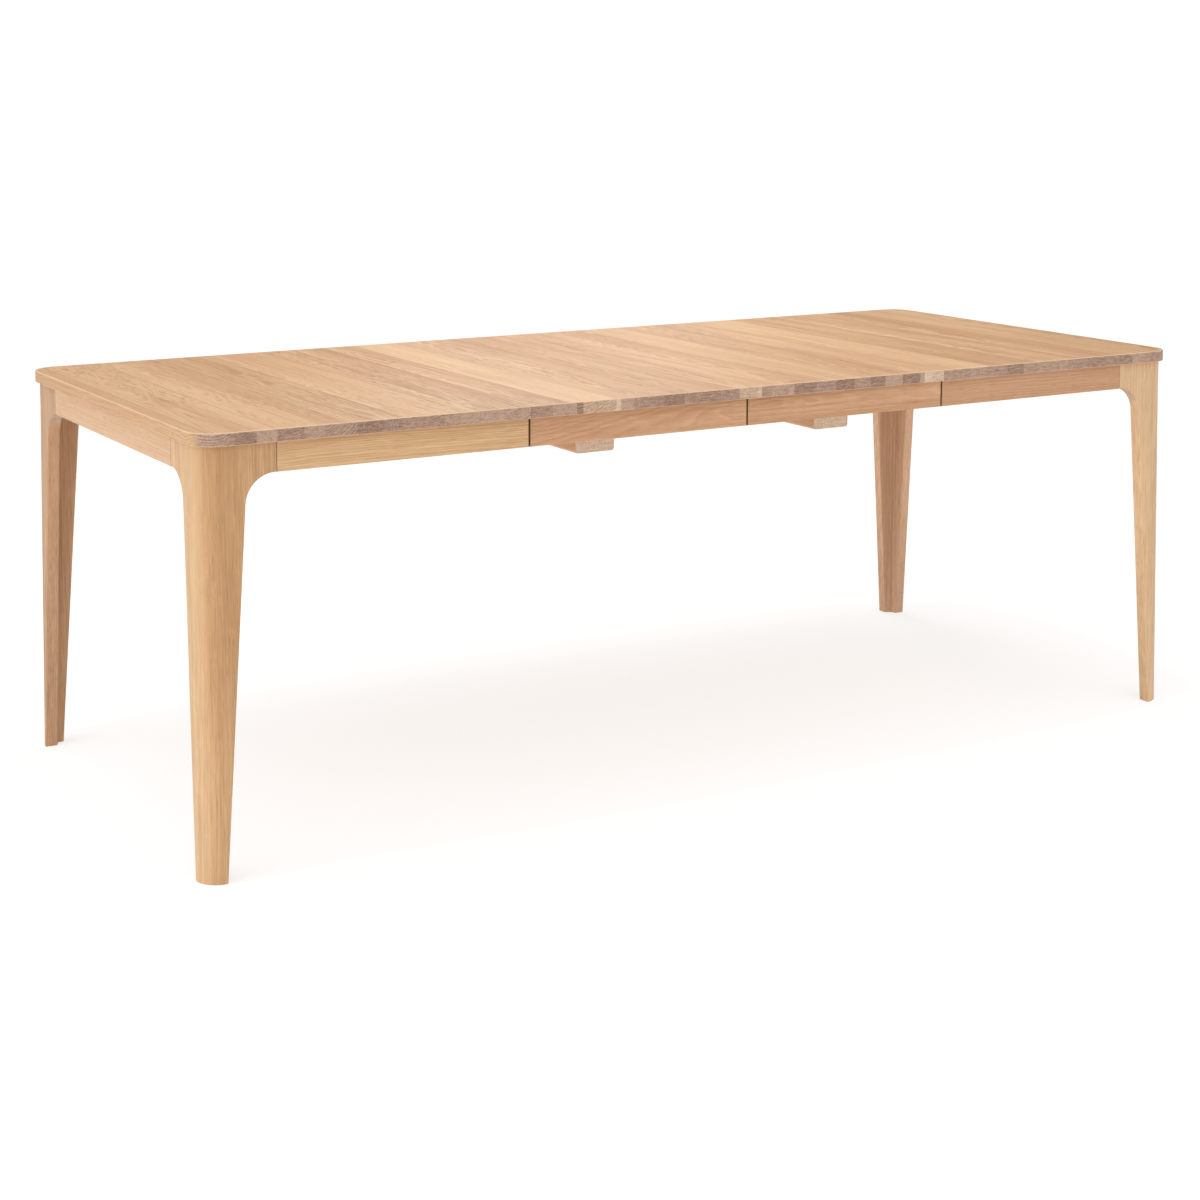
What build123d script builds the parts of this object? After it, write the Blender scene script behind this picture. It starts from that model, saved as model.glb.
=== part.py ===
from build123d import *
import os
from math import sqrt

# Extending dining table, drawn pulled out with both leaves in.
# Millimetres, +Z up. The origin is on the floor under the middle of the table,
# X runs along its length and -Y is the front.

# --- overall sizes ---
table_length = 2100
table_width = 900
table_height = 735
leaf_length = 450
top_thickness = 22
corner_radius = 48
top_round = 2.5
seam_gap = 0.5

# --- frame under the top ---
overhang = 8
apron_height = 50
apron_thickness = 24
apron_gap = 3
joint_bevel = 0.6
apron_ease = 1.5
joint_groove = 1
groove_in = 5

# --- legs: L-shaped in plan, swept up into the aprons ---
leg_flange = 130
leg_thickness = 24
leg_corner_radius = 40
leg_inner_radius = 12
foot_width = 41
knee_width = 77
sweep_radius = 52
splay = 8
leg_ease = 2.5
foot_ease = 1

# --- joinery of the halves ---
block_side = 150
block_tip = 14
block_drop = 45
dowel_diameter = 8
dowel_length = 36
dowel_above_bottom = 14
dowel_below_top = 12
bracket_width = 22
bracket_arm = 24
bracket_steel = 2
bracket_hole_at = 14
bracket_x = 690
bracket_y = 150

# --- screws: shank lengths, and how deep each driver pocket is ---
side_screw_length = 45
side_pocket = 60
up_screw_length = 40
up_pocket = 40
runner_screw_length = 43
batten_screw_length = 44
bracket_screw_length = 14

# --- sliding frame ---
rail_length = 1000
rail_width = 30
rail_y = 276
runner_length = 1000
runner_width = 26
runner_inset = 100
runner_lift = 2
rail_bevel = 1.5
slide_gap = 1
slide_bottom = 650
slide_top_gap = 1
tongue_length = 490
groove_depth = 9
groove_mouth = 12
groove_root = 18
groove_z = 681
tongue_clearance = 0.4
batten_x = 262
batten_width = 80
batten_length = 686
batten_thickness = 27
batten_ease = 5
batten_screw_spacing = 44
stop_travel = 46
pin_radius = 4
pin_length = 34
pin_inset = 0.5

# --- leaf fittings ---
peg_diameter = 10
peg_spacing = 280
peg_clearance = 0.3
peg_drop = 17
peg_rise = 12
peg_bevel = 1.2
pad_diameter = 20
pad_from_peg = 35
glue_block_length = 70
glue_block_side = 22
glue_block_bevel = 9
glue_block_inset = 60

# --- worked out from the sizes above ---
under_top = table_height - top_thickness
apron_bottom = under_top - apron_height
half_length = table_length / 2
half_width = table_width / 2
frame_x = half_length - overhang
frame_y = half_width - overhang
runner_y = rail_width / 2 + slide_gap + runner_width / 2
slide_top = under_top - slide_top_gap
inner_x = -frame_x + leg_thickness
inner_y = -frame_y + leg_thickness

os.makedirs("parts", exist_ok=True)


def save(shape, node):
    export_step(shape, "parts/" + node + ".step")


def block(x0, x1, y0, y1, z0, z1):
    """A plain box between two corners."""
    size = Box(abs(x1 - x0), abs(y1 - y0), abs(z1 - z0))
    return Pos((x0 + x1) / 2, (y0 + y1) / 2, (z0 + z1) / 2) * size


def to_back(shape):
    """The same piece on the back side of the table."""
    return shape.mirror(Plane.XZ)


def to_right(shape):
    """The same piece on the right half."""
    return shape.mirror(Plane.YZ)


def upright(diameter, x, y, z0, z1):
    """A vertical cylinder."""
    return Pos(x, y, (z0 + z1) / 2) * Cylinder(diameter / 2, z1 - z0)


def screw(length, diameter=5, head=9, head_height=3):
    """Pan-head screw: head on z 0 to head_height, shank above it, cross recess below."""
    body = Pos(0, 0, head_height / 2) * Cylinder(head / 2, head_height)
    body += Pos(0, 0, head_height + length / 2) * Cylinder(diameter / 2, length)
    recess = Box(head * 0.6, 1.1, 2.4) + Box(1.1, head * 0.6, 2.4)
    return body - recess


def plug(length, diameter=5, head=9, head_height=3, pocket=0):
    """The hole that a screw leaves, with a pocket of the given depth below its head."""
    hole = Pos(0, 0, head_height / 2 - pocket / 2) * Cylinder(head / 2, head_height + pocket)
    return hole + Pos(0, 0, head_height + length / 2) * Cylinder(diameter / 2, length)


def drilled(wood, holes):
    for hole in holes:
        wood = wood - hole
    return wood


# ---------------------------------------------------------------- table tops
def rounded_top(x0, x1, outer_corners):
    """A solid top panel; outer_corners rounds the two corners at its x0 end."""
    panel = block(x0, x1, -half_width, half_width, under_top, table_height)
    if not outer_corners:
        panel = fillet(panel.edges().filter_by(Axis.X).group_by(Axis.Z)[-1], top_round)
        return fillet(panel.edges().filter_by(Axis.X).group_by(Axis.Z)[0], top_round / 2)
    corners = panel.edges().filter_by(Axis.Z).group_by(Axis.X)[0]
    panel = fillet(corners, corner_radius)
    upper = panel.faces().sort_by(Axis.Z)[-1].edges()
    seam = upper.sort_by(Axis.X)[-1]
    panel = fillet([e for e in upper if e != seam], top_round)
    lower = panel.faces().sort_by(Axis.Z)[0].edges()
    seam = lower.sort_by(Axis.X)[-1]
    return fillet([e for e in lower if e != seam], top_round / 2)


left_top = rounded_top(-half_length, -leaf_length - seam_gap / 2, True)
leaf_top = rounded_top(-leaf_length + seam_gap / 2, -seam_gap / 2, False)


# ---------------------------------------------------------------- aprons
def long_apron(x0, x1):
    """Front apron between two x positions, with small bevels at its ends."""
    apron = block(x0, x1, -frame_y, -frame_y + apron_thickness, apron_bottom, under_top)
    ends = apron.edges().filter_by(Axis.Z).group_by(Axis.Y)[0]
    apron = chamfer(ends, joint_bevel)
    bottom = apron.edges().filter_by(Axis.X).group_by(Axis.Z)[0]
    return fillet(bottom, apron_ease)


half_apron_x0 = -frame_x + leg_flange
half_apron_x1 = -leaf_length - apron_gap / 2
front_apron = long_apron(half_apron_x0, half_apron_x1)
leaf_apron = long_apron(-leaf_length + apron_gap / 2, -apron_gap / 2)

end_reach = frame_y - leg_flange
end_apron = block(-frame_x, -frame_x + apron_thickness, -end_reach, end_reach,
                  apron_bottom, under_top)
end_apron = fillet(end_apron.edges().filter_by(Axis.Y).group_by(Axis.Z)[0], apron_ease)

# A shallow groove marks each joint between an apron and a leg.
front_apron -= block(half_apron_x0, half_apron_x0 + joint_groove, -frame_y, -frame_y + groove_in,
                     apron_bottom, under_top)
for end in (-end_reach, end_reach - joint_groove):
    end_apron -= block(-frame_x, -frame_x + groove_in, end, end + joint_groove,
                       apron_bottom, under_top)


# ---------------------------------------------------------------- legs
def corner_leg():
    """Front left leg: an L-shaped corner whose two flanges narrow to the foot."""
    square = Rectangle(leg_flange, leg_flange, align=(Align.MIN, Align.MIN))
    square = fillet(square.vertices().sort_by(Axis.X).group_by(Axis.Y)[0].sort_by(Axis.X)[0:1],
                    leg_corner_radius)
    inner = Pos(leg_thickness, leg_thickness) * Rectangle(
        leg_flange, leg_flange, align=(Align.MIN, Align.MIN))
    inner = fillet(inner.vertices().group_by(Axis.Y)[0].sort_by(Axis.X)[0:1], leg_inner_radius)
    section = Pos(-frame_x, -frame_y, apron_bottom) * (square - inner)
    post = extrude(section, apron_height, dir=(0, 0, 1))
    drop = Vector(-splay, -splay, -apron_bottom)
    shank = extrude(section, drop.length, dir=drop)

    # Side view of what is cut away: u is the distance from the outer face. The cuts run
    # well past the leg.
    away, below = 400, -40
    past_y, past_x = 1000, 2000
    knee_z = apron_bottom - sweep_radius
    knee_u = knee_width - splay * (1 - knee_z / apron_bottom)
    foot_u = foot_width - splay
    mid = sweep_radius * sqrt(0.5)
    top_u = knee_u + sweep_radius
    corner = Line((foot_u, 0), (knee_u, knee_z))
    sweep = ThreePointArc((knee_u, knee_z),
                          (top_u - mid, knee_z + mid),
                          (top_u, apron_bottom))
    rest = Polyline((top_u, apron_bottom), (away, apron_bottom), (away, below), (foot_u, below),
                    (foot_u, 0))
    side = make_face([corner, sweep, rest])
    along_x = extrude(Plane((-frame_x, 0, 0), x_dir=(1, 0, 0), z_dir=(0, -1, 0)) * side,
                      past_y, both=True)
    along_y = extrude(Plane((0, -frame_y, 0), x_dir=(0, 1, 0), z_dir=(1, 0, 0)) * side,
                      past_x, both=True)
    leg = post + (shank - along_x - along_y)

    # Ease the long free edges of the flanges, which are well away from the outer corner,
    # then the foot.
    long_edges = leg.edges().filter_by(lambda e: e.length > 0.95 * knee_z)
    beyond_round = leg_corner_radius + 4
    free = [e for e in long_edges
            if max(e.center().X + frame_x, e.center().Y + frame_y) > beyond_round]
    leg = fillet(free, leg_ease)
    return chamfer(leg.faces().sort_by(Axis.Z)[0].edges(), foot_ease)


leg = corner_leg()

# ---------------------------------------------------------------- corner blocks
outline = Polyline((leg_inner_radius, 0), (block_side, 0), (block_side, block_tip),
                   (block_tip, block_side), (0, block_side), (0, leg_inner_radius), close=True)
corner_block = Pos(inner_x, inner_y, under_top - block_drop) * extrude(
    make_face(outline), block_drop)

side_screw = screw(side_screw_length)
side_hole = plug(side_screw_length, pocket=side_pocket)
up_screw = screw(up_screw_length)
up_hole = plug(up_screw_length, pocket=up_pocket)
# Each block's screws: how far along the block they are, how far out and how far down their
# heads sit. Those into the end go above those into the front, so that they pass each other.
screw_along, screw_out = 132, 29
into_front = Pos(inner_x + screw_along, inner_y + screw_out, under_top - 26) * Rot(90, 0, 0)
into_end = Pos(inner_x + screw_out, inner_y + screw_along, under_top - 18) * Rot(0, -90, 0)
up_head_depth = 32
up_near = Pos(inner_x + 40, inner_y + 40, under_top - up_head_depth)
up_far = Pos(inner_x + 92, inner_y + 62, under_top - up_head_depth)
corner_screws = [into_front * side_screw, into_end * side_screw,
                 up_near * up_screw, up_far * up_screw]
corner_holes = [into_front * side_hole, into_end * side_hole,
                up_near * up_hole, up_far * up_hole]

# ---------------------------------------------------------------- dowels
dowel_z = [apron_bottom + dowel_above_bottom, under_top - dowel_below_top]
dowels = []
for z in dowel_z:
    pin = Cylinder(dowel_diameter / 2, dowel_length)
    dowels.append(Pos(half_apron_x0, -frame_y + apron_thickness / 2, z) * Rot(0, 90, 0) * pin)
    dowels.append(Pos(-frame_x + apron_thickness / 2, -end_reach, z) * Rot(90, 0, 0) * pin)

# ---------------------------------------------------------------- top brackets
bracket_screw_sizes = {"length": bracket_screw_length, "diameter": 3.5, "head": 7,
                       "head_height": 2}
bracket_screw = screw(**bracket_screw_sizes)
bracket_hole = plug(**bracket_screw_sizes)


def bracket():
    """Steel angle: one leg against an apron's inner face (y 0), one up under the top."""
    half = bracket_width / 2
    flat = block(-half, half, 0, bracket_arm, -bracket_steel, 0)
    flat += block(-half, half, 0, bracket_steel, -bracket_arm, 0)
    flat = fillet(flat.edges().filter_by(Axis.X).group_by(Axis.Z)[1][0:1], 0.6 * bracket_steel)
    hole = Cylinder(bracket_screw_sizes["diameter"] / 2, 2 * bracket_steel)
    flat = flat - Pos(0, bracket_hole_at, -bracket_steel / 2) * hole
    return flat - Pos(0, bracket_steel / 2, -bracket_hole_at) * Rot(90, 0, 0) * hole


head_out = bracket_steel + bracket_screw_sizes["head_height"]
bracket_up = Pos(0, bracket_hole_at, -head_out)
bracket_side = Pos(0, head_out, -bracket_hole_at) * Rot(90, 0, 0)
inner_face = -frame_y + apron_thickness
bracket_places = [
    Pos(-bracket_x, inner_face, under_top),
    Pos(-frame_x + apron_thickness, -bracket_y, under_top) * Rot(0, 0, -90),
]


# ---------------------------------------------------------------- slides
def dovetail(y_face, direction, x0, x1, depth, mouth, root, start=0.0):
    """Dovetail bar along X. direction is +1 or -1: the way it deepens from y_face."""
    shape = Polyline((x0, y_face - direction * start, groove_z - mouth / 2),
                     (x0, y_face + direction * depth, groove_z - root / 2),
                     (x0, y_face + direction * depth, groove_z + root / 2),
                     (x0, y_face - direction * start, groove_z + mouth / 2), close=True)
    return extrude(make_face(shape), x1 - x0, dir=(1, 0, 0))


groove_slope = (groove_root - groove_mouth) / groove_depth
tongue_depth = groove_depth - 0.5
tongue_mouth = groove_mouth - 2 * tongue_clearance - slide_gap * groove_slope
tongue_root = groove_mouth - 2 * tongue_clearance + tongue_depth * groove_slope


def runner(x0, x1, y, toward, fixed_x0, fixed_x1, tongue_x0, tongue_x1):
    """Runner screwed under one half; toward is the side its tongue stands out on."""
    bar = block(x0, x1, y - runner_width / 2, y + runner_width / 2,
                slide_bottom + runner_lift, slide_top)
    bar = chamfer(bar.edges().filter_by(Axis.X).group_by(Axis.Z)[0], rail_bevel)
    pad = block(fixed_x0, fixed_x1, y - runner_width / 2, y + runner_width / 2,
                slide_top, under_top)
    face = y + toward * (runner_width / 2 + slide_gap)
    tongue = dovetail(face, toward, tongue_x0, tongue_x1, tongue_depth,
                      tongue_mouth, tongue_root, start=slide_gap)
    return bar + pad + tongue


def centre_rail(pegs):
    """Front centre rail with a dovetail groove along both sides."""
    y0 = -rail_y - rail_width / 2
    y1 = -rail_y + rail_width / 2
    rail = block(-rail_length / 2, rail_length / 2, y0, y1, slide_bottom, slide_top)
    rail = chamfer(rail.edges().filter_by(Axis.X).group_by(Axis.Z)[0], rail_bevel)
    for face, way in ((y0, 1), (y1, -1)):
        rail = rail - dovetail(face, way, -rail_length / 2 - 1, rail_length / 2 + 1,
                               groove_depth, groove_mouth, groove_root)
    for x in pegs:
        rail = rail - upright(peg_diameter + 2 * peg_clearance, x, -rail_y,
                              under_top - peg_drop - 3, under_top)
    return rail


# Pegs under each leaf that drop into the centre rails.
peg_x = []
for middle in (-leaf_length / 2, leaf_length / 2):
    peg_x += [middle - peg_spacing / 2, middle + peg_spacing / 2]

outer_y = -rail_y - runner_y
inner_runner_y = -rail_y + runner_y
fixed_end = leaf_length + 5
runner_end = half_length - runner_inset
reach = runner_length - runner_end
left_runner = runner(-runner_end, reach, outer_y, 1,
                     -runner_end, -fixed_end, -tongue_length + reach, reach)
right_runner = runner(-reach, runner_end, inner_runner_y, -1,
                      fixed_end, runner_end, -reach, tongue_length - reach)
rail = centre_rail(peg_x)

# Screws that hold the runners up to the fixed tops.
runner_screw_x = [500, 700, 900]
runner_screw_z = slide_bottom + 32
runner_screw = screw(runner_screw_length)
runner_hole = plug(runner_screw_length, pocket=up_pocket)


def runner_places(sign, y):
    return [Pos(sign * x, y, runner_screw_z) for x in runner_screw_x]


# Steel pins across the grooves stop each half from pulling off the centre rail.
pin_x = tongue_length - reach + stop_travel + pin_radius
pins = []
for side in (-1, 1):
    pin_y = -rail_y + side * (rail_width / 2 - pin_radius - pin_inset)
    pins.append(upright(2 * pin_radius, side * pin_x, pin_y,
                        groove_z - pin_length / 2, groove_z + pin_length / 2))
rail = drilled(rail, pins)


# Cross battens under the centre rails.
def batten(x):
    bar = block(x - batten_width / 2, x + batten_width / 2, -batten_length / 2,
                batten_length / 2, slide_bottom - batten_thickness, slide_bottom)
    return fillet(bar.edges().filter_by(Axis.Y).group_by(Axis.Z)[0], batten_ease)


batten_screw = screw(batten_screw_length)
batten_hole = plug(batten_screw_length)
batten_places = []
for y in (-rail_y, rail_y):
    for x in (-batten_x, batten_x):
        for side in (-batten_screw_spacing / 2, batten_screw_spacing / 2):
            batten_places.append(Pos(x + side, y, slide_bottom - batten_thickness))

left_batten = drilled(batten(-batten_x), [p * batten_hole for p in batten_places])
right_batten = drilled(batten(batten_x), [p * batten_hole for p in batten_places])
rail = drilled(rail, [p * batten_hole for p in batten_places])

# ---------------------------------------------------------------- leaf fittings
leaf_pegs = [upright(peg_diameter, x, -rail_y, under_top - peg_drop, under_top + peg_rise)
             for x in peg_x[0:2]]
leaf_pegs = [chamfer(p.faces().sort_by(Axis.Z)[0].edges(), peg_bevel) for p in leaf_pegs]
pad_x = [peg_x[0] - pad_from_peg, peg_x[1] + pad_from_peg]
leaf_pads = [upright(pad_diameter, x, -rail_y, slide_top, under_top) for x in pad_x]
glue_block_x = [-leaf_length + glue_block_inset, -leaf_length / 2, -glue_block_inset]
glue_blocks = []
for x in glue_block_x:
    cube = block(x - glue_block_length / 2, x + glue_block_length / 2,
                 inner_face, inner_face + glue_block_side, under_top - glue_block_side, under_top)
    edge = cube.edges().filter_by(Axis.X).group_by(Axis.Z)[0].sort_by(Axis.Y)[-1]
    glue_blocks.append(chamfer(edge, glue_block_bevel))

# ---------------------------------------------------------------- drill and save
frame_holes = corner_holes + dowels
left_runner = drilled(left_runner, [p * runner_hole for p in runner_places(-1, outer_y)])
right_runner = drilled(right_runner, [p * runner_hole for p in runner_places(1, inner_runner_y)])
bracket_holes = []
bracket_screws = []
brackets = []
for place in bracket_places:
    brackets.append(place * bracket())
    for way in (bracket_up, bracket_side):
        bracket_holes.append(place * way * bracket_hole)
        bracket_screws.append(place * way * bracket_screw)

top_holes = corner_holes + bracket_holes


def half_top(runner_line, sign):
    """Table top of one half, drilled for every screw that comes up into it."""
    holes = top_holes + [to_back(h) for h in top_holes]
    panel = drilled(left_top, holes)
    if sign > 0:
        panel = to_right(panel)
    ups = [p * runner_hole for p in runner_places(sign, runner_line)]
    return drilled(panel, ups + [to_back(h) for h in ups])


front_apron = drilled(front_apron, frame_holes + bracket_holes)
end_apron = drilled(end_apron, frame_holes + bracket_holes
                    + [to_back(h) for h in frame_holes + bracket_holes])
leg = drilled(leg, dowels)
corner_block = drilled(corner_block, corner_holes)


def as_drawn(shape):
    return shape


def both_sides(shapes, place=as_drawn):
    """One group of separate solids: the pieces given and their copies at the back."""
    pieces = list(shapes) + [to_back(s) for s in shapes]
    return Compound(children=[place(p) for p in pieces])


halves = {"left": as_drawn, "right": to_right}
for name, place in halves.items():
    save(place(end_apron), name + "_end_apron")
    save(place(front_apron), name + "_front_apron")
    save(place(to_back(front_apron)), name + "_back_apron")
    save(place(leg), name + "_front_leg")
    save(place(to_back(leg)), name + "_back_leg")
    save(both_sides([corner_block], place), name + "_corner_blocks")
    save(both_sides(corner_screws, place), name + "_corner_screws")
    save(both_sides(dowels, place), name + "_apron_dowels")
    save(both_sides(brackets, place), name + "_top_brackets")
    save(both_sides(bracket_screws, place), name + "_bracket_screws")

save(half_top(outer_y, -1), "left_top")
save(half_top(inner_runner_y, 1), "right_top")
for name, bar, y, sign in (("left", left_runner, outer_y, -1),
                           ("right", right_runner, inner_runner_y, 1)):
    save(bar, name + "_front_runner")
    save(to_back(bar), name + "_back_runner")
    save(both_sides([p * runner_screw for p in runner_places(sign, y)]), name + "_runner_screws")

leaf_top = drilled(leaf_top, leaf_pegs + [to_back(p) for p in leaf_pegs])
for name, place in (("left_leaf", as_drawn), ("right_leaf", to_right)):
    save(place(leaf_top), name + "_top")
    save(place(leaf_apron), name + "_front_apron")
    save(place(to_back(leaf_apron)), name + "_back_apron")
    save(both_sides(glue_blocks, place), name + "_glue_blocks")
    save(both_sides(leaf_pegs, place), name + "_pegs")
    save(both_sides(leaf_pads, place), name + "_rest_pads")

save(rail, "centre_rail_front")
save(to_back(rail), "centre_rail_back")
save(left_batten, "left_batten")
save(right_batten, "right_batten")
save(Compound(children=[p * batten_screw for p in batten_places]), "batten_screws")
save(both_sides(pins), "stop_pins")
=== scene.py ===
import math

import bpy
from mathutils import Euler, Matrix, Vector


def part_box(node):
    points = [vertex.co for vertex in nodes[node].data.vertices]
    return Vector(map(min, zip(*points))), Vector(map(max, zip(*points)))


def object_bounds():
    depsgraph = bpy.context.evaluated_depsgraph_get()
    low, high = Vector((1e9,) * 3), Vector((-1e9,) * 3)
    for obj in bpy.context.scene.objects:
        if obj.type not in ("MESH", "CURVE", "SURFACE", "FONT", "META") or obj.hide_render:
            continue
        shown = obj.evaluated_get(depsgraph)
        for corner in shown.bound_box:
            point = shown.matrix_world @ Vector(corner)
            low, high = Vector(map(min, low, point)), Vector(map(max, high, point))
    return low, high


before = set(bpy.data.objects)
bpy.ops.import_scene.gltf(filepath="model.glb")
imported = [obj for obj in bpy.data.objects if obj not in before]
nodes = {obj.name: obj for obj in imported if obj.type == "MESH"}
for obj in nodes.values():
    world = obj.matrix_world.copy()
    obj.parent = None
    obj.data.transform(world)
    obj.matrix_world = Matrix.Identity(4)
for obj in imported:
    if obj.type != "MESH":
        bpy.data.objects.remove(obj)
cad_lo, cad_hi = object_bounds()

# ------------------------------------------------------------------ sizes, in metres
HALF_LENGTH, HALF_WIDTH, HEIGHT = cad_hi
leaf_lo, leaf_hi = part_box("left_leaf_top")
LEAF = leaf_hi.x - leaf_lo.x
OVERHANG = HALF_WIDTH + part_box("left_front_apron")[0].y
SIDE_FACE = HALF_WIDTH - OVERHANG
END_FACE = HALF_LENGTH - OVERHANG

# Patterns in the wood: how many a metre along the grain, how many across it, and their detail.
FIGURE = (1.6, 24.0, 2.0)
STREAKS = (5.0, 230.0, 2.0)
FIBRES = (18.0, 620.0, 1.0)
RED_BANDS = (0.9, 8.0, 1.0)
RAYS = (26.0, 60.0, 1.0)
PORES = (38.0, 1000.0, 0.0)
DASHES = (34.0, 330.0, 0.0)
DASHED_AREAS = (1.3, 7.0, 1.0)
RING_BENDS = (2.2, 9.0, 1.0)
RING_RIPPLES = (14.0, 34.0, 1.0)

# Growth rings, in metres: their spacing, how far they wander, and how far each log is from the
# usual place. LATEWOOD is where in a ring its dark part ends and the fall begins.
RING_SPACING, END_RING_SPACING = 0.0045, 0.0042
BEND_REACH, RIPPLE_REACH = 0.05, 0.006
LOG_ACROSS, LOG_BEHIND = 0.05, 0.03
LATEWOOD = (0.78, 0.84)
UNEVEN_SCALE, UNEVENNESS = 55.0, 3.0

# How strongly each feature darkens or colours the wood, where 0 to 1 is light to dark; the last one
# weighs the painted highlight on the top's eased edges.
TONE, END_TONE = 0.42, 0.45
FIGURE_WEIGHT, STREAK_WEIGHT, FIBRE_WEIGHT, FADE_WEIGHT = 1.1, 0.75, 0.6, 1.2
RED_WEIGHT, RAY_WEIGHT, PORE_WEIGHT = 0.5, 0.14, 0.2
SPECK_WEIGHT, LAYER_WEIGHT, BLOCK_WEIGHT, END_RING_WEIGHT = 1.5, 1.4, 0.65, 0.15
JOINT_WEIGHT, BLOCK_JOINT_WEIGHT = 0.5, 0.16
PALE_WEIGHT, ARRIS_HIGHLIGHT_WEIGHT = 0.7, 0.6

# Offsets that give boards, blocks and the grain's start different random numbers.
BOARD_SHIFT, BLOCK_SHIFT, START_SPREAD = 3.7, 5.3, 31.0

BOARD_JOINT, BLOCK_JOINT = 0.0016, 0.0012
# How far in from a leg's outer end the painted highlight on its end side reaches.
OUTER_SIDE_HIGHLIGHT_DEPTH = 0.014
SPECKS = (300.0, 330.0, 380.0)  # how many a metre along, across and through
LAYERS = (70.0, 230.0)  # how many a metre across and through

# The pale end-grain blocks: how wide beside the rightmost seam, and where the single one lies.
PALE_BESIDE_SEAM = 0.048
PALE_BLOCK_AT, PALE_BLOCK_HALF = -0.69 * LEAF, 0.038

# The colour of the painted highlight on a leg's outer end side.
OUTER_SIDE_HIGHLIGHT = (246, 214, 168)
PALE_END_LIGHT, PALE_END_DARK = (236, 212, 182), (196, 160, 128)
# The colour of the painted highlight on the top's eased edges.
ARRIS_HIGHLIGHT = (240, 214, 180)


def srgb(colour, factor=1.0):
    """An sRGB colour, 0 to 255, made lighter or darker by the factor, as linear RGBA."""
    out = []
    for c in colour:
        c = min(c * factor, 255) / 255
        out.append(c / 12.92 if c <= 0.04045 else ((c + 0.055) / 1.055) ** 2.4)
    return (*out, 1.0)


class Graph:
    """Builds one material's node tree."""

    def __init__(self, name):
        self.material = bpy.data.materials.new(name)
        self.material.use_nodes = True
        self.tree = self.material.node_tree
        self.tree.nodes.clear()
        self.shader = self.add("ShaderNodeBsdfPrincipled")
        output = self.add("ShaderNodeOutputMaterial")
        self.tree.links.new(self.shader.outputs[0], output.inputs["Surface"])

    def add(self, kind, inputs=None, **settings):
        node = self.tree.nodes.new(kind)
        for key, value in settings.items():
            setattr(node, key, value)
        for key, value in (inputs or {}).items():
            self.put(value, node.inputs[key])
        return node

    def put(self, value, socket):
        if isinstance(value, bpy.types.NodeSocket):
            self.tree.links.new(value, socket)
        else:
            socket.default_value = value

    def finish_with(self, **inputs):
        """Sets the shader's inputs, with spaces for underscores, and gives the material."""
        for key, value in inputs.items():
            self.put(value, self.shader.inputs[key.replace("_", " ")])
        return self.material

    def math(self, operation, a, b=0.0, c=0.0, clamp=False):
        node = self.add("ShaderNodeMath", operation=operation, use_clamp=clamp)
        for value, socket in zip((a, b, c), node.inputs):
            self.put(value, socket)
        return node.outputs[0]

    def times(self, a, b):
        return self.math("MULTIPLY", a, b)

    def size(self, a):
        return self.math("ABSOLUTE", a)

    def clamped(self, a):
        return self.math("ADD", a, 0.0, clamp=True)

    def vary(self, total, value, weight):
        """The total, moved up or down by how far the value is from a half."""
        return self.math("MULTIPLY_ADD", self.math("SUBTRACT", value, 0.5), weight, total)

    def combine(self, x, y, z):
        return self.add("ShaderNodeCombineXYZ", {"X": x, "Y": y, "Z": z}).outputs[0]

    def split(self, vector):
        return self.add("ShaderNodeSeparateXYZ", {"Vector": vector}).outputs

    def place(self):
        return self.add("ShaderNodeTexCoord").outputs["Object"]

    def noise(self, vector, detail=2.0, scale=1.0):
        look = {"Vector": vector, "Scale": scale, "Detail": detail}
        return self.add("ShaderNodeTexNoise", look).outputs[0]

    def ramp(self, value, low, high, out_low=0.0, out_high=1.0, smooth=True):
        node = self.add("ShaderNodeMapRange", {"Value": value, "From Min": low, "From Max": high,
                                               "To Min": out_low, "To Max": out_high},
                        interpolation_type="SMOOTHSTEP" if smooth else "LINEAR")
        return node.outputs[0]

    def mix(self, factor, a, b):
        node = self.add("ShaderNodeMix", data_type="RGBA")
        for value, socket in ((factor, 0), (a, 6), (b, 7)):
            self.put(value, node.inputs[socket])
        return node.outputs[2]

    def bump(self, height, strength):
        look = {"Height": height, "Strength": strength, "Distance": 0.0004}
        return self.add("ShaderNodeBump", look).outputs[0]


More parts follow.
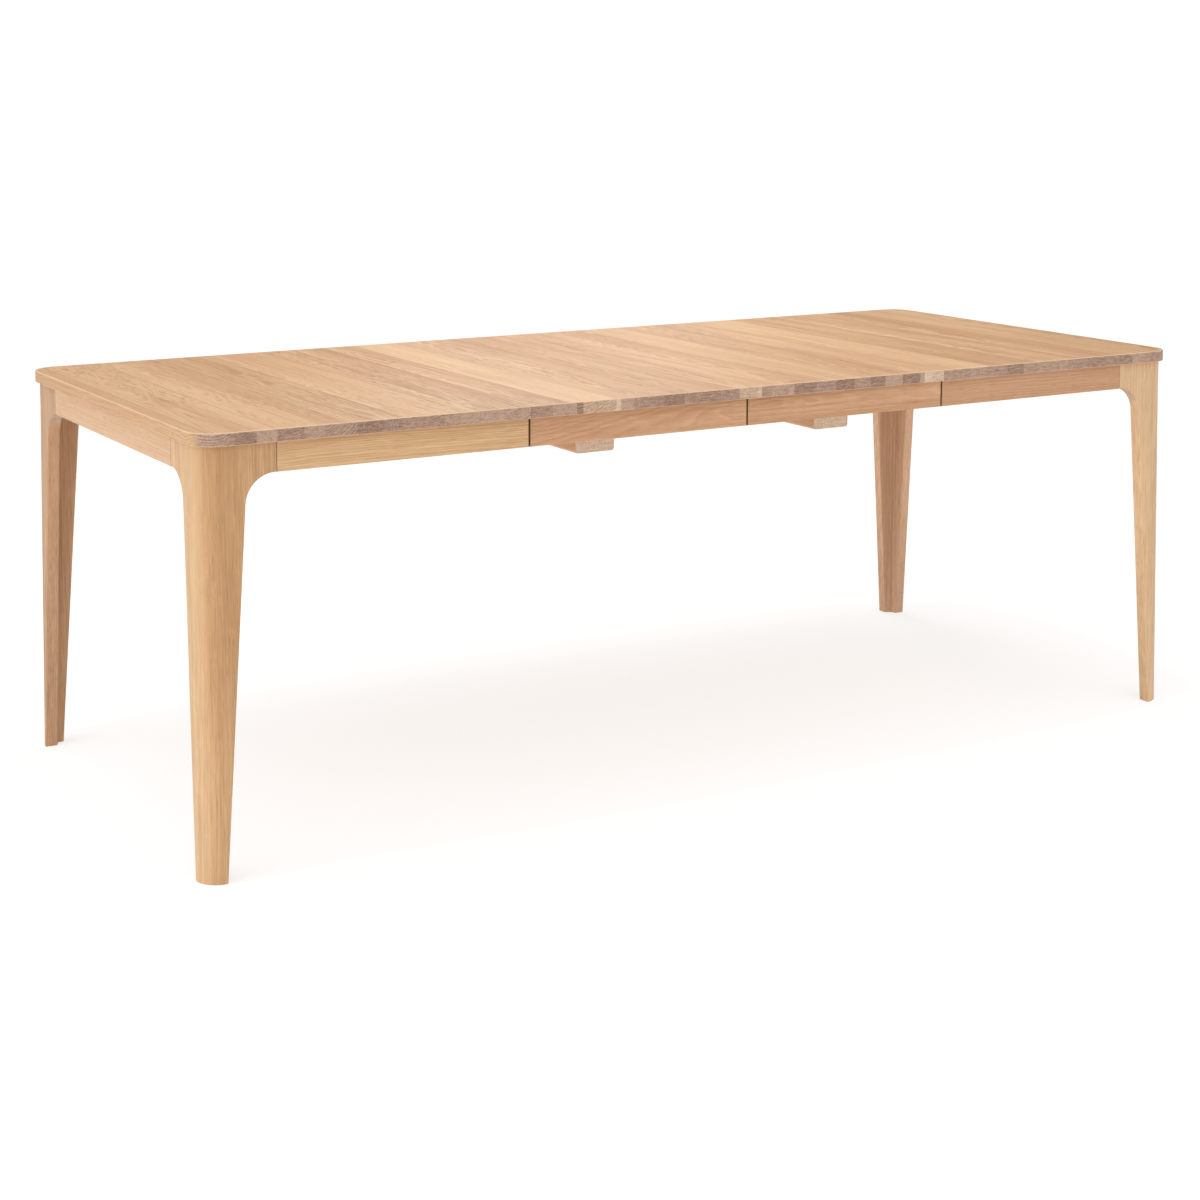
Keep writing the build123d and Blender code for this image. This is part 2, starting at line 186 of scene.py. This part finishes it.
class Wood(Graph):
    """A solid texture of wood cut from round logs.

    axes names the directions along the grain, across the board and through it, and face is how
    far the board's face is from the table's middle. centre is the log's middle, across and behind
    the face, and taper is how fast the rings run out through the face.
    """

    def __init__(self, name, axes, face, seed, centre, taper):
        super().__init__(name)
        self.seed, self.centre, self.taper = seed, centre, taper
        self.position = dict(zip("XYZ", self.split(self.place())))
        self.along, self.across, self.through = [self.position[a] for a in axes]
        normal = self.add("ShaderNodeNewGeometry").outputs["Normal"]
        self.facing = dict(zip("XYZ", self.split(normal)))
        self.behind = self.math("SUBTRACT", self.size(self.through), face)

    def boards(self, width, offset, randomness):
        """Random numbers for the board here, the place across it, and how far its edge is."""
        w = self.math("MULTIPLY_ADD", self.across, 1.0 / width, offset)
        look = {"W": w, "Scale": 1.0, "Randomness": randomness}
        cell = self.add("ShaderNodeTexVoronoi", look, voronoi_dimensions="1D", feature="F1")
        edge = self.add("ShaderNodeTexVoronoi", look, voronoi_dimensions="1D",
                        feature="DISTANCE_TO_EDGE").outputs["Distance"]
        local = self.times(self.math("SUBTRACT", w, cell.outputs["W"]), width)
        return self.split(cell.outputs["Color"]), local, self.times(edge, width)

    def piece(self):
        """Random numbers for a piece in one part, different at each corner of the table."""
        signs = [self.math("SIGN", self.position[axis]) for axis in "XY"]
        noise = self.add("ShaderNodeTexWhiteNoise", {"Vector": self.combine(*signs, self.seed)},
                         noise_dimensions="3D")
        return self.split(noise.outputs["Color"]), self.across, None

    def grain(self, pattern, offset=0.0):
        """Noise drawn out along the grain."""
        along, across, detail = pattern
        return self.noise(self.combine(self.math("MULTIPLY_ADD", self.along, along, offset),
                                       self.math("MULTIPLY_ADD", self.across, across, self.seed),
                                       self.times(self.through, across)), detail)

    def rings(self, random, local, spacing, start, wave):
        """0 to 1 across each growth ring, with a sharp fall at its outer edge."""
        bend = self.math("SUBTRACT", self.grain(RING_BENDS, start), 0.5)
        ripple = self.math("SUBTRACT", self.grain(RING_RIPPLES, start), 0.5)
        wander = self.math("MULTIPLY_ADD", bend, BEND_REACH * wave,
                           self.times(ripple, RIPPLE_REACH * wave))
        side = self.vary(self.centre[0], random[1], LOG_ACROSS)
        side = self.math("MULTIPLY_ADD", wander, 0.5, self.math("ADD", local, side))
        depth = self.math("MULTIPLY_ADD", random[2], LOG_BEHIND, self.centre[1])
        depth = self.math("SUBTRACT", depth, self.behind)
        slope = self.math("MULTIPLY_ADD", random[0], 1.4 * self.taper, -0.7 * self.taper)
        depth = self.math("MULTIPLY_ADD", self.along, slope, self.math("ADD", depth, wander))
        squares = self.math("ADD", self.times(side, side), self.times(depth, depth))
        radius = self.math("SQRT", squares)
        uneven = self.combine(self.times(radius, UNEVEN_SCALE), random[0], self.seed)
        uneven = self.times(self.noise(uneven, 1.0), UNEVENNESS)
        phase = self.math("FRACT", self.math("MULTIPLY_ADD", radius, 1.0 / spacing, uneven))
        return self.math("SUBTRACT", self.ramp(phase, 0.0, LATEWOOD[0]),
                         self.ramp(phase, LATEWOOD[1], 1.0))

    def flecked(self, pores, start, flecks):
        """How dark the pores are, with longer dashes in some areas."""
        shade = self.times(pores, PORE_WEIGHT)
        if flecks:
            dashes = self.ramp(self.grain(DASHES, start), 0.6, 0.7)
            area = self.ramp(self.grain(DASHED_AREAS, 4.0), 0.52, 0.66)
            shade = self.math("MULTIPLY_ADD", self.times(dashes, area), flecks, shade)
        return shade

    def inner_face_shade(self):
        """Painted shade: 1 on the inner faces of a leg's two flanges, which are just behind its
        outer faces.
        """
        shaded = 0.0
        for axis, outer in (("X", END_FACE), ("Y", SIDE_FACE)):
            inward = self.times(self.facing[axis], self.math("SIGN", self.position[axis]))
            near = self.ramp(self.size(self.position[axis]), outer - 0.06, outer - 0.03)
            shaded = self.math("MULTIPLY_ADD", near, self.ramp(inward, -0.8, -0.4, 1.0, 0.0),
                               shaded)
        return shaded

    def end_tone(self, random, local, in_blocks):
        """How dark the end grain is: rings, pores and, in glued blocks, each block's own tone."""
        specks = self.noise(self.combine(*[self.times(place, count) for place, count in zip(
            (self.along, self.across, self.through), SPECKS)]), 3.0)
        layers = self.noise(self.combine(self.times(self.across, LAYERS[0]),
                                         self.times(self.through, LAYERS[1]), 3.0))
        contrast = self.ramp(random[2], 0.5, 0.95, 0.08, 0.6) if in_blocks else END_RING_WEIGHT
        arcs = self.rings(random, local, END_RING_SPACING, 0.0, 0.3)
        amount = self.vary(END_TONE, arcs, contrast)
        amount = self.vary(amount, specks, SPECK_WEIGHT)
        amount = self.vary(amount, layers, LAYER_WEIGHT)
        if in_blocks:
            amount = self.vary(amount, random[0], BLOCK_WEIGHT)
        return self.clamped(amount)

    def pale_places(self):
        """1 on the pale blocks: narrow beside the leaves' seams, and a wide one on the left leaf."""
        on_leaf = self.math("LESS_THAN", self.size(self.across), LEAF)
        from_seam = self.math("PINGPONG", self.across, LEAF / 2)
        width = self.ramp(self.across, -LEAF, LEAF, 0.0, PALE_BESIDE_SEAM)
        beside = self.math("LESS_THAN", from_seam, width)
        wide = self.math("COMPARE", self.across, PALE_BLOCK_AT, PALE_BLOCK_HALF)
        return self.math("MAXIMUM", self.times(on_leaf, beside), wide)

    def arris_highlight(self):
        """1 on the eased edge between a flat face and an end, where a highlight is painted."""
        upright = self.size(self.facing["Z"])
        return self.times(self.ramp(upright, 0.2, 0.45), self.ramp(upright, 0.9, 0.985, 1.0, 0.0))

    def faces_end(self, axis):
        """1 where the surface faces along the grain."""
        toward = self.ramp(self.size(self.facing[axis]), 0.25, 0.8)
        if axis != "Z":
            flat = self.ramp(self.size(self.facing["Z"]), 0.25, 0.5, 1.0, 0.0)
            toward = self.times(toward, flat)
        return toward


def oak(name, axes, face, light, dark, seed, centre=(0.08, 0.05), taper=0.012, figure=1.0,
        lines=1.0, ringed=0.3, board=0.0, tone=0.5, warm=None, flecks=0.0, sapwood=0.0, inside=0.0,
        end_light=None, end_dark=None, end_board=0.0, pale_blocks=False):
    """Oiled oak. board is the width of glued boards, or 0 for one piece, and end_board is the
    width of the blocks in its end grain. The other numbers weigh one feature each."""
    g = Wood(name, axes, face, seed, centre, taper)
    random, local, edge = g.boards(board, seed * BOARD_SHIFT, 0.7) if board else g.piece()
    start = g.times(random[1], START_SPREAD)

    streaks = g.grain(STREAKS, start)
    pores = g.ramp(g.grain(PORES, start), 0.62, 0.74)
    amount = g.vary(TONE, g.grain(FIGURE, start), FIGURE_WEIGHT * figure)
    amount = g.vary(amount, g.rings(random, local, RING_SPACING, start, figure), ringed * lines)
    amount = g.vary(amount, streaks, STREAK_WEIGHT * lines)
    amount = g.vary(amount, g.grain(FIBRES, start), FIBRE_WEIGHT * lines)
    if board:
        amount = g.vary(amount, random[0], tone)
        fade = g.times(local, g.math("SUBTRACT", random[2], 0.3))
        amount = g.math("MULTIPLY_ADD", fade, FADE_WEIGHT * tone / board, amount)

    colour = g.mix(g.clamped(amount), srgb(light), srgb(dark))
    if warm:
        red = g.ramp(g.grain(RED_BANDS, start), 0.42, 0.66)
        colour = g.mix(g.times(red, RED_WEIGHT), colour, srgb(warm))
    rays = g.ramp(g.grain(RAYS, start), 0.62, 0.72)
    colour = g.mix(g.times(rays, RAY_WEIGHT), colour, srgb(light, 1.06))
    colour = g.mix(g.flecked(pores, start, flecks), colour, srgb(dark, 0.66))
    if board:
        joint = g.ramp(edge, 0.0, BOARD_JOINT, JOINT_WEIGHT, 0.0)
        colour = g.mix(joint, colour, srgb(dark, 0.6))
    # Painted highlight: the leg's outer end side and a band beside it are made paler, as if lit from
    # that side.
    if sapwood:
        outermost = g.ramp(g.size(g.position["X"]), END_FACE - OUTER_SIDE_HIGHLIGHT_DEPTH, END_FACE)
        colour = g.mix(g.times(outermost, sapwood), colour, srgb(OUTER_SIDE_HIGHLIGHT))
    # Painted shade: the legs' inner faces are darkened towards the dark colour.
    if inside:
        colour = g.mix(g.times(g.inner_face_shade(), inside), colour, srgb(dark, 0.62))
    height = g.math("MULTIPLY_ADD", pores, -0.7, g.times(streaks, 0.4))

    if end_light:
        if end_board:
            random, local, edge = g.boards(end_board, seed * BLOCK_SHIFT, 1.0)
        amount = g.end_tone(random, local, end_board > 0)
        end = g.mix(amount, srgb(end_light), srgb(end_dark))
        if end_board:
            joint = g.ramp(edge, 0.0, BLOCK_JOINT, BLOCK_JOINT_WEIGHT, 0.0)
            end = g.mix(joint, end, srgb(end_dark, 0.7))
        if pale_blocks:
            pale = g.mix(amount, srgb(PALE_END_LIGHT), srgb(PALE_END_DARK))
            end = g.mix(g.times(g.pale_places(), PALE_WEIGHT), end, pale)
            # Painted highlight along the top's eased edges.
            colour = g.mix(g.times(g.arris_highlight(), ARRIS_HIGHLIGHT_WEIGHT), colour, srgb(ARRIS_HIGHLIGHT))
        toward = g.faces_end(axes[0])
        colour = g.mix(toward, colour, end)
        height = g.times(height, g.math("SUBTRACT", 1.0, toward))

    return g.finish_with(Base_Color=colour, Specular_IOR_Level=0.28, Normal=g.bump(height, 0.5),
                         Roughness=g.ramp(streaks, 0.2, 0.8, 0.42, 0.56, smooth=False))


def metal(name, colour, roughness, seed):
    """Zinc-plated steel: a faint crystalline mottle and fine scratches."""
    g = Graph(name)
    place = g.place()
    mottle = g.add("ShaderNodeTexVoronoi", {"Vector": place, "Scale": 700.0 + seed})
    shade = g.split(mottle.outputs["Color"])[0]
    stretched = g.add("ShaderNodeMapping", {"Vector": place, "Scale": (4000.0, 300.0, 900.0)})
    scratches = g.noise(stretched.outputs[0])
    return g.finish_with(Base_Color=g.mix(g.times(shade, 0.35), srgb(colour), srgb(colour, 0.8)),
                         Roughness=g.ramp(scratches, 0.3, 0.7, roughness - 0.08, roughness + 0.1),
                         Metallic=1.0)


def felt(name, colour):
    g = Graph(name)
    fuzz = g.noise(g.place(), detail=3.0, scale=2600.0)
    return g.finish_with(Base_Color=g.mix(fuzz, srgb(colour), srgb(colour, 0.55)),
                         Roughness=0.95, Normal=g.bump(fuzz, 0.6))


# ------------------------------------------------------------------ materials
joint_ends = {"end_light": (156, 112, 78), "end_dark": (122, 84, 58)}
leg_ends = {"end_light": (206, 176, 150), "end_dark": (164, 130, 104)}
batten_ends = {"end_light": (243, 220, 192), "end_dark": (202, 171, 145)}
slide_ends = {"end_light": (214, 176, 134), "end_dark": (184, 142, 104)}
top_ends = {"end_light": (196, 164, 141), "end_dark": (138, 106, 88)}
leg_kinds = {"left_front_leg": "leg", "left_back_leg": "dark_leg",
             "right_front_leg": "pale_leg", "right_back_leg": "rosy_leg"}


def apron(name, light, dark, seed, face=SIDE_FACE, axes="XZY", **weights):
    return oak(name, axes, face, light, dark, seed, **weights, **joint_ends)


def leg(name, light, dark, seed, **weights):
    return oak(name, "ZXY", SIDE_FACE, light, dark, seed, ringed=0.14, **weights, **leg_ends)


looks = {
    "top": oak("oak_top", "YXZ", HEIGHT, (219, 179, 134), (176, 127, 85), 2, centre=(0.03, 0.03),
               lines=1.3, board=0.104, tone=0.6, warm=(198, 148, 106), flecks=0.4,
               end_board=0.042, pale_blocks=True, **top_ends),
    "left_apron": apron("oak_apron_a", (230, 189, 143), (192, 146, 102), 2, figure=0.8, lines=1.3),
    "right_apron": apron("oak_apron_b", (216, 170, 132), (184, 134, 98), 3, figure=0.6),
    "leaf_apron": apron("oak_apron_leaf", (222, 175, 135), (184, 133, 95), 4,
                        centre=(-0.68, 0.02), taper=0.05, figure=1.2, lines=0.9),
    "end_apron": apron("oak_apron_end", (230, 192, 154), (200, 156, 116), 5, END_FACE, "YZX",
                       figure=0.6, lines=0.7),
    # In each leg below, the last number darkens its inner faces with painted shade.
    "leg": leg("oak_leg", (222, 180, 134), (178, 132, 92), 6, figure=1.4, lines=1.5,
               warm=(188, 139, 94), sapwood=0.3, inside=0.2),
    "dark_leg": leg("oak_leg_dark", (211, 171, 133), (170, 126, 93), 6, figure=1.1, lines=1.4,
                    warm=(190, 148, 116), inside=0.1),
    "pale_leg": leg("oak_leg_pale", (238, 202, 160), (206, 164, 122), 11, figure=0.9, lines=1.4,
                    inside=0.2),
    "rosy_leg": leg("oak_leg_rosy", (236, 194, 158), (200, 152, 120), 12, figure=0.9, lines=1.4,
                    inside=0.28),
    "batten": oak("oak_batten", "YXZ", 0.6, (222, 178, 138), (190, 142, 102), 7, lines=0.8,
                  **batten_ends),
    "slide": oak("beech_slide", "XZY", 0.3, (226, 186, 142), (198, 150, 108), 8, figure=0.5,
                 lines=0.5, **slide_ends),
    "block": oak("pale_block", "XZY", SIDE_FACE, (232, 202, 160), (204, 168, 126), 9, lines=0.5),
    "peg": oak("beech_peg", "ZXY", 0.3, (232, 198, 154), (204, 164, 120), 10, lines=0.5),
    "screw": metal("zinc_steel", (205, 205, 202), 0.34, 1),
    "bracket": metal("pressed_steel", (190, 190, 186), 0.42, 2),
    "pad": felt("brown_felt", (92, 80, 70)),
}

# The first word found in a node's name gives its look.
look_words = (
    ("end_apron", "end_apron"), ("dowels", "peg"), ("pegs", "peg"),
    ("leaf_front_apron", "leaf_apron"), ("leaf_back_apron", "leaf_apron"),
    ("left_front_apron", "left_apron"), ("left_back_apron", "left_apron"),
    ("right_front_apron", "right_apron"), ("right_back_apron", "right_apron"),
    ("brackets", "bracket"), ("screws", "screw"), ("pins", "screw"), ("pads", "pad"),
    ("blocks", "block"), ("batten", "batten"), ("runner", "slide"), ("rail", "slide"),
)


def look_of(node):
    if node.endswith("_top"):
        return looks["top"]
    if node in leg_kinds:
        return looks[leg_kinds[node]]
    for word, look in look_words:
        if word in node:
            return looks[look]
    raise ValueError("no look for " + node)


for name, piece in nodes.items():
    piece.data.materials.clear()
    piece.data.materials.append(look_of(name))

# ------------------------------------------------------------------ floor and light
bpy.ops.mesh.primitive_plane_add(size=80, location=(0, 0, 0))
floor = bpy.context.object
floor.name = "floor"
floor.data.materials.append(Graph("white_floor").finish_with(
    Base_Color=(0.45, 0.45, 0.45, 1), Roughness=0.95, Specular_IOR_Level=0.0,
    Emission_Color=(1, 1, 1, 1), Emission_Strength=0.64))


def studio(backdrop, daylight):
    """White behind the object, and a weaker even light from all round it."""
    world = bpy.data.worlds.new("studio")
    bpy.context.scene.world = world
    world.use_nodes = True
    tree = world.node_tree
    plain = tree.nodes["Background"]
    path = tree.nodes.new("ShaderNodeLightPath")
    strength = tree.nodes.new("ShaderNodeMapRange")
    tree.links.new(path.outputs["Is Camera Ray"], strength.inputs["Value"])
    strength.inputs["To Min"].default_value = daylight
    strength.inputs["To Max"].default_value = backdrop
    tree.links.new(strength.outputs[0], plain.inputs["Strength"])
    plain.inputs["Color"].default_value = (1, 1, 1, 1)


def aim(lamp, location, target):
    bpy.context.scene.collection.objects.link(lamp)
    lamp.location = location
    lamp.rotation_euler = (Vector(target) - Vector(location)).to_track_quat("-Z", "Y").to_euler()


def softbox(name, location, target, size, power):
    """A rectangular lamp: places and sizes in metres, power in watts."""
    data = bpy.data.lights.new(name, "AREA")
    data.shape = "RECTANGLE"
    data.size, data.size_y = size
    data.energy = power
    lamp = bpy.data.objects.new(name, data)
    lamp.visible_camera = False
    aim(lamp, location, target)


def skylight(name, location, strength, spread):
    """Light from one broad direction, as even at the edge of the floor as in the middle."""
    data = bpy.data.lights.new(name, "SUN")
    data.energy = strength
    data.angle = math.radians(spread)
    aim(bpy.data.objects.new(name, data), location, (0, 0, 0))


studio(backdrop=1.05, daylight=0.5)
skylight("overhead", (-1.3, -1.1, 3.0), strength=1.32, spread=80)
softbox("above", (0.0, 0.0, 2.5), (0.0, 0.0, 0.7), size=(1.4, 1.0), power=14)
softbox("behind", (1.0, 2.0, 1.9), (0.1, 0.1, 0.7), size=(1.1, 0.8), power=9)
softbox("left", (-4.4, -0.8, 0.6), (-1.0, 0.0, 0.45), size=(1.6, 2.6), power=32)

# ------------------------------------------------------------------ camera
IMAGE_PX, FOCAL_PX = 1200.0, 2197.0
SENSOR_MM = 36
YAW, PITCH, ROLL = 30.74, 6.64, -0.08
LOCATION = (-2.2394, -3.6844, 1.3056)
camera_data = bpy.data.cameras.new("camera")
camera_data.sensor_width = SENSOR_MM
camera_data.lens = SENSOR_MM * FOCAL_PX / IMAGE_PX
camera_data.shift_y = -0.23
camera_data.clip_end = 200
camera = bpy.data.objects.new("camera", camera_data)
camera.location = LOCATION
camera.rotation_euler = Euler([math.radians(a) for a in (90 - PITCH, ROLL, -YAW)], "XYZ")
bpy.context.scene.collection.objects.link(camera)
bpy.context.scene.camera = camera
bpy.context.scene.view_settings.view_transform = "Standard"
